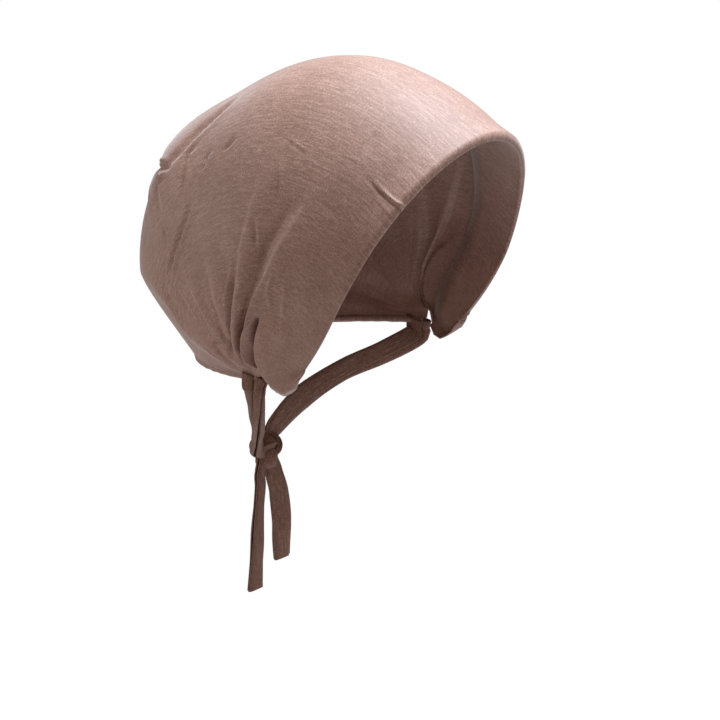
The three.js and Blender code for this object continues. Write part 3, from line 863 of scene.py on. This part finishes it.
def make_knot(material):
    """The ties' knot: a thick band of folded cloth on a trefoil line, wound through itself."""
    t = np.linspace(0, 2 * np.pi, KNOT["steps"])
    line = np.stack(
        [np.sin(t) + 2 * np.sin(2 * t), -np.sin(3 * t) * KNOT["flat"], np.cos(t) - 2 * np.cos(2 * t)], -1
    )
    line = line * np.array(KNOT["line"])
    way = unit(np.gradient(line, axis=0))
    out = unit(line - way * np.einsum("ij,ij->i", line, way)[:, None])
    side = np.cross(out, way)
    angle = np.linspace(0, 2 * np.pi, KNOT["sides"])
    deep, fine = KNOT["creases"]
    crease = 1 + deep * np.cos(3 * angle)[None] * np.cos(5 * t)[:, None] + fine * np.cos(7 * angle + 2)[None]
    points = (
        np.array(KNOT["at"])
        + line[:, None]
        + side[:, None] * (KNOT["half_width"] * np.cos(angle)[None] * crease)[..., None]
        + out[:, None] * (KNOT["half_thick"] * np.sin(angle)[None] * crease)[..., None]
    )
    u = np.broadcast_to(angle * KNOT["round"], points.shape[:2])
    v = np.broadcast_to((t * KNOT["long"])[:, None], points.shape[:2])
    knot = grid_mesh("tie_knot", points, np.stack([u, v], -1) * MM)
    bm = bmesh.new()
    bm.from_mesh(knot.data)
    bmesh.ops.remove_doubles(bm, verts=bm.verts, dist=KNOT["weld"])
    bmesh.ops.recalc_face_normals(bm, faces=bm.faces)
    bm.to_mesh(knot.data)
    bm.free()
    knot.data.materials.append(material)
    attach(knot, "root")
    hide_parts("knot")


class CAP_OT_crown(bpy.types.Operator):
    """Make the crown with its rolled front edge and folds"""

    bl_idname = "cap.crown"
    bl_label = "Crown"

    def execute(self, context):
        make_crown()
        return {"FINISHED"}


class CAP_OT_ties(bpy.types.Operator):
    """Make the nape casing, the ties, their free ends and the knot"""

    bl_idname = "cap.ties"
    bl_label = "Casing, ties and knot"

    def execute(self, context):
        sizes = context.scene.cap
        # The ties' cloth is the crown's jersey darkened to 0.64 of its colour: painted shade, standing in for
        # the shade a head and neck would cast on the ties.
        cloth = jersey_material("tie_jersey", tint=0.64, sheen=0.03, shine=0.1)
        make_casing(jersey_material("hem_jersey", tint=0.97))
        tie, end = sizes.tie_width / MM, sizes.end_width / MM
        make_strip("right_tie_cloth", "right_tie", RIGHT_TIE, tie, cloth, thickness=4.4, seed=3)
        make_strip("left_tie_cloth", "left_tie", LEFT_TIE, tie, cloth, thickness=4.2, seed=4)
        make_strip("right_end_cloth", "right_tie_end", RIGHT_END, end, cloth, thickness=3.0, seed=7)
        make_strip("left_end_cloth", "left_tie_end", LEFT_END, end, cloth, thickness=3.0, seed=8)
        make_knot(cloth)
        return {"FINISHED"}


class CAP_OT_stage(bpy.types.Operator):
    """Make the camera, the lights and the pale floor"""

    bl_idname = "cap.stage"
    bl_label = "Stage"

    def execute(self, context):
        stage = context.scene.cap_stage
        make_camera(stage)
        make_lights(stage)
        make_floor(stage)
        return {"FINISHED"}


def make_camera(stage):
    """The camera, turned so that the form's centre is shown where PICTURE says."""
    back = Vector(
        (
            math.sin(stage.azimuth) * math.cos(stage.elevation),
            -math.cos(stage.azimuth) * math.cos(stage.elevation),
            math.sin(stage.elevation),
        )
    )
    camera = bpy.data.objects.new("camera", bpy.data.cameras.new("camera"))
    bpy.context.scene.collection.objects.link(camera)
    camera.data.lens = stage.lens
    camera.data.sensor_width = PICTURE["sensor"]
    centre = -Vector(ORIGIN) * MM
    camera.location = centre + back * stage.camera_distance
    turn = (-back).to_track_quat("-Z", "Y").to_matrix().to_4x4()
    pixel = PICTURE["sensor"] / PICTURE["pixels"] / stage.lens
    pitch = Matrix.Rotation(-math.atan(PICTURE["above"] * pixel), 4, "X")
    yaw = Matrix.Rotation(-math.atan(PICTURE["left"] * pixel), 4, "Y")
    camera.matrix_world = (
        Matrix.Translation(camera.location) @ turn @ Matrix.Rotation(stage.roll, 4, "Z") @ pitch @ yaw
    )
    bpy.context.scene.camera = camera


def area_light(name, power, row):
    """A round light that points at LIT_POINT."""
    light = bpy.data.objects.new(name, bpy.data.lights.new(name, "AREA"))
    light.data.shape = "DISK"
    light.data.energy = power
    light.data.size = row["size"]
    light.data.color = row["colour"]
    light.location = row["at"]
    light.rotation_euler = (Vector(LIT_POINT) - Vector(row["at"])).to_track_quat("-Z", "Y").to_euler()
    bpy.context.scene.collection.objects.link(light)


def make_lights(stage):
    """The two lights and a pale surround, which the camera sees as white."""
    area_light("key", stage.key_power, KEY_LIGHT)
    area_light("rim", stage.rim_power, RIM_LIGHT)
    world = bpy.data.worlds.new("studio")
    world.use_nodes = True
    background = world.node_tree.nodes["Background"]
    path = world.node_tree.nodes.new("ShaderNodeLightPath")
    strength = world.node_tree.nodes.new("ShaderNodeMapRange")
    strength.inputs["To Min"].default_value = stage.world_strength
    strength.inputs["To Max"].default_value = 1.0
    world.node_tree.links.new(path.outputs["Is Camera Ray"], strength.inputs["Value"])
    world.node_tree.links.new(strength.outputs["Result"], background.inputs["Strength"])
    colour = world.node_tree.nodes.new("ShaderNodeMix")
    colour.data_type = "RGBA"
    colour.inputs[6].default_value = SURROUND_TINT
    colour.inputs[7].default_value = (1, 1, 1, 1)
    world.node_tree.links.new(path.outputs["Is Camera Ray"], colour.inputs[0])
    world.node_tree.links.new(colour.outputs[2], background.inputs["Color"])
    bpy.context.scene.world = world
    bpy.context.scene.view_settings.view_transform = "Standard"


def make_floor(stage):
    """A round floor well below the cap."""
    bm = bmesh.new()
    bmesh.ops.create_circle(bm, cap_ends=True, segments=FLOOR["segments"], radius=stage.floor_radius)
    bmesh.ops.translate(bm, verts=bm.verts, vec=(0, 0, stage.floor_height))
    mesh = bpy.data.meshes.new("floor")
    bm.to_mesh(mesh)
    bm.free()
    floor = bpy.data.objects.new("floor", mesh)
    bpy.context.scene.collection.objects.link(floor)
    graph = Graph("pale_floor")
    floor.data.materials.append(graph.finish({"Base Color": FLOOR["tone"], "Roughness": FLOOR["rough"]}))


class CAP_PT_panel(bpy.types.Panel):
    """Lists the cap's sizes and its pieces"""

    bl_idname = "CAP_PT_panel"
    bl_label = "Underscarf cap"
    bl_space_type = "VIEW_3D"
    bl_region_type = "UI"
    bl_category = "Cap"

    def draw(self, context):
        for group in (context.scene.cap, context.scene.cap_stage):
            for name in group.__annotations__:
                self.layout.prop(group, name)
        for operator in OPERATORS:
            self.layout.operator(operator.bl_idname)


OPERATORS = (CAP_OT_crown, CAP_OT_ties, CAP_OT_stage)
CLASSES = (CapSizes, StageSizes, *OPERATORS, CAP_PT_panel)


def register():
    """Adds the cap's classes and its settings on the scene."""
    for made in CLASSES:
        bpy.utils.register_class(made)
    bpy.types.Scene.cap = PointerProperty(type=CapSizes)
    bpy.types.Scene.cap_stage = PointerProperty(type=StageSizes)


def unregister():
    """Takes them away again."""
    del bpy.types.Scene.cap_stage
    del bpy.types.Scene.cap
    for made in reversed(CLASSES):
        bpy.utils.unregister_class(made)


def main():
    """Makes the stage and the cap."""
    register()
    bpy.ops.cap.stage()
    bpy.ops.cap.crown()
    bpy.ops.cap.ties()


if __name__ == "__main__":
    main()
